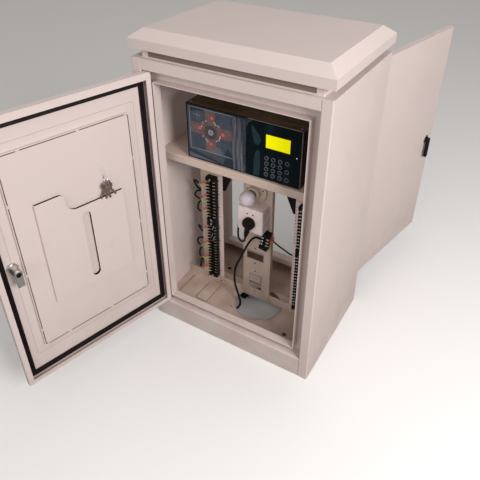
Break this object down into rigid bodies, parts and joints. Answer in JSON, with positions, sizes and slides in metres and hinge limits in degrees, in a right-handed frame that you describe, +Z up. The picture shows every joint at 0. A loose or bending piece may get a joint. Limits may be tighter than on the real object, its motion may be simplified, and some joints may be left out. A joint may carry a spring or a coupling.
{
  "type": "traffic signal controller cabinet",
  "caption": "Roadside traffic signal controller cabinet with both doors open, terminal rails, shelf-mounted controller unit, service lamp and socket.",
  "frame": {"origin": "ground level in the middle of the footprint, in the mouth of the foundation duct", "axes": "+X to the right as seen from the front, +Y to the rear, +Z up"},
  "size_m": [0.7291, 1.3488, 0.971],
  "materials": {
    "painted_steel": "satin",
    "black_rubber": "matt",
    "black_plastic": "satin",
    "black_cable": "satin",
    "plated_steel": "satin",
    "brass": "worn",
    "cream_plastic": "gloss",
    "white_plastic": "gloss",
    "frosted_glass": "frosted",
    "navy_membrane": "gloss",
    "key_grey": "satin",
    "lcd_yellow": "gloss",
    "red_wire": "satin"
  },
  "bodies": {
    "cabinet": {"centre_plate": "painted_steel", "circuit_breaker": "white_plastic", "controller_case": "painted_steel", "controller_cover": "painted_steel", "controller_front_plate": "painted_steel", "controller_inlet": "black_plastic", "controller_keys": "key_grey", "controller_lcd": "lcd_yellow", "controller_overlay": "navy_membrane", "crossbars": "painted_steel", "din_rail": "plated_steel", "floor_plate": "painted_steel", "front_header": "painted_steel", "front_sill": "painted_steel", "junction_block": "black_plastic", "lamp_bulb": "frosted_glass", "lamp_holder": "cream_plastic", "left_side_panel": "painted_steel", "left_terminal_blocks": "black_plastic", "link_lead": "black_cable", "link_wires": "red_wire", "number_strips": "white_plastic", "pivot_blocks": "plated_steel", "pivot_pins": "plated_steel", "plug_lead": "black_cable", "rear_floor_plate": "painted_steel", "rear_header": "painted_steel", "rear_sill": "painted_steel", "right_side_panel": "painted_steel", "right_terminal_blocks": "black_plastic", "roof_cap": "painted_steel", "roof_neck": "painted_steel", "shelf": "painted_steel", "shelf_gussets": "painted_steel", "socket_box": "white_plastic", "socket_faceplate": "white_plastic", "socket_plug": "black_plastic", "supply_coil": "black_cable", "supply_lead": "black_cable", "supply_plug": "black_plastic", "terminal_rails": "painted_steel", "terminal_wires": "black_cable", "top_plate": "painted_steel"},
    "front_door": {"front_door_panel": "painted_steel", "front_door_seal": "black_rubber", "front_door_pan": "painted_steel", "document_pocket": "painted_steel", "front_door_bushes": "plated_steel", "front_latch_barrel": "plated_steel", "key_bunch": "brass"},
    "rear_door": {"rear_door_panel": "painted_steel", "rear_door_seal": "black_rubber", "rear_door_pan": "painted_steel", "rear_door_bushes": "plated_steel", "rear_latch_barrel": "plated_steel"},
    "front_latch": {"front_latch_handle": "plated_steel", "front_latch_cam": "plated_steel"},
    "rear_latch": {"rear_latch_handle": "plated_steel", "rear_latch_cam": "plated_steel"}
  },
  "joints": [
    {"name": "front_door_hinge", "type": "hinge", "parent": "cabinet", "child": "front_door", "pos_m": [-0.242, -0.194, 0], "axis": [0, 0, 1], "range_deg": [-5.4, 104.6]},
    {"name": "rear_door_hinge", "type": "hinge", "parent": "cabinet", "child": "rear_door", "pos_m": [0.242, 0.194, 0], "axis": [0, 0, 1], "range_deg": [-8.6, 101.4]},
    {"name": "front_latch_turn", "type": "hinge", "parent": "front_door", "child": "front_latch", "pos_m": [-0.35922, -0.62022, 0.47], "axis": [-0.9677, 0.2521, 0], "range_deg": [0, 90]},
    {"name": "rear_latch_turn", "type": "hinge", "parent": "rear_door", "child": "rear_latch", "pos_m": [0.33525, 0.62609, 0.47], "axis": [0.9803, -0.1977, 0], "range_deg": [0, 90]}
  ]
}
